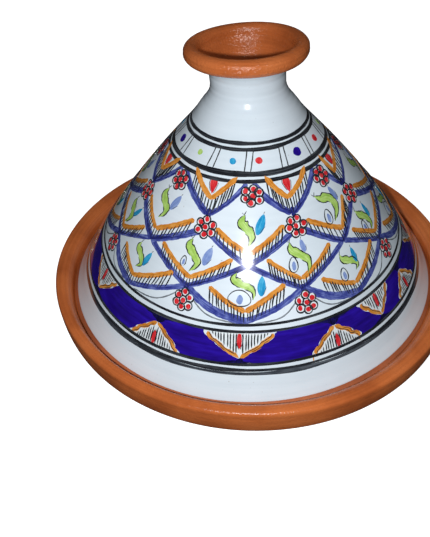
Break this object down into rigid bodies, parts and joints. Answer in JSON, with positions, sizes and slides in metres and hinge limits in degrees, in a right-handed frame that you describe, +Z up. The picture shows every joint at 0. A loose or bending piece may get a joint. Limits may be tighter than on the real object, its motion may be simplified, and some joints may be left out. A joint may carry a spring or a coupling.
{
  "type": "tagine pot",
  "caption": "Tagine pot in red clay: shallow dish with a gallery rim, white-glazed conical lid with painted bands and a bare flared cup on top.",
  "frame": {"origin": "centre of the foot ring's resting face", "axes": "+Z up along the axis of the dish and lid; X and Y are free, the pot is turned about Z"},
  "size_m": [0.313, 0.313, 0.2265],
  "materials": {
    "terracotta": "satin",
    "white_glaze": "gloss"
  },
  "bodies": {
    "dish": {"dish_body": "terracotta", "dish_glaze": "white_glaze"},
    "lid": {"lid_cone": "terracotta", "lid_collar": "terracotta", "lid_glaze": "white_glaze"}
  },
  "joints": [
    {"name": "lid_lift", "type": "slide", "parent": "dish", "child": "lid", "axis": [0, 0, 1], "range_m": [0, 0.25]}
  ]
}
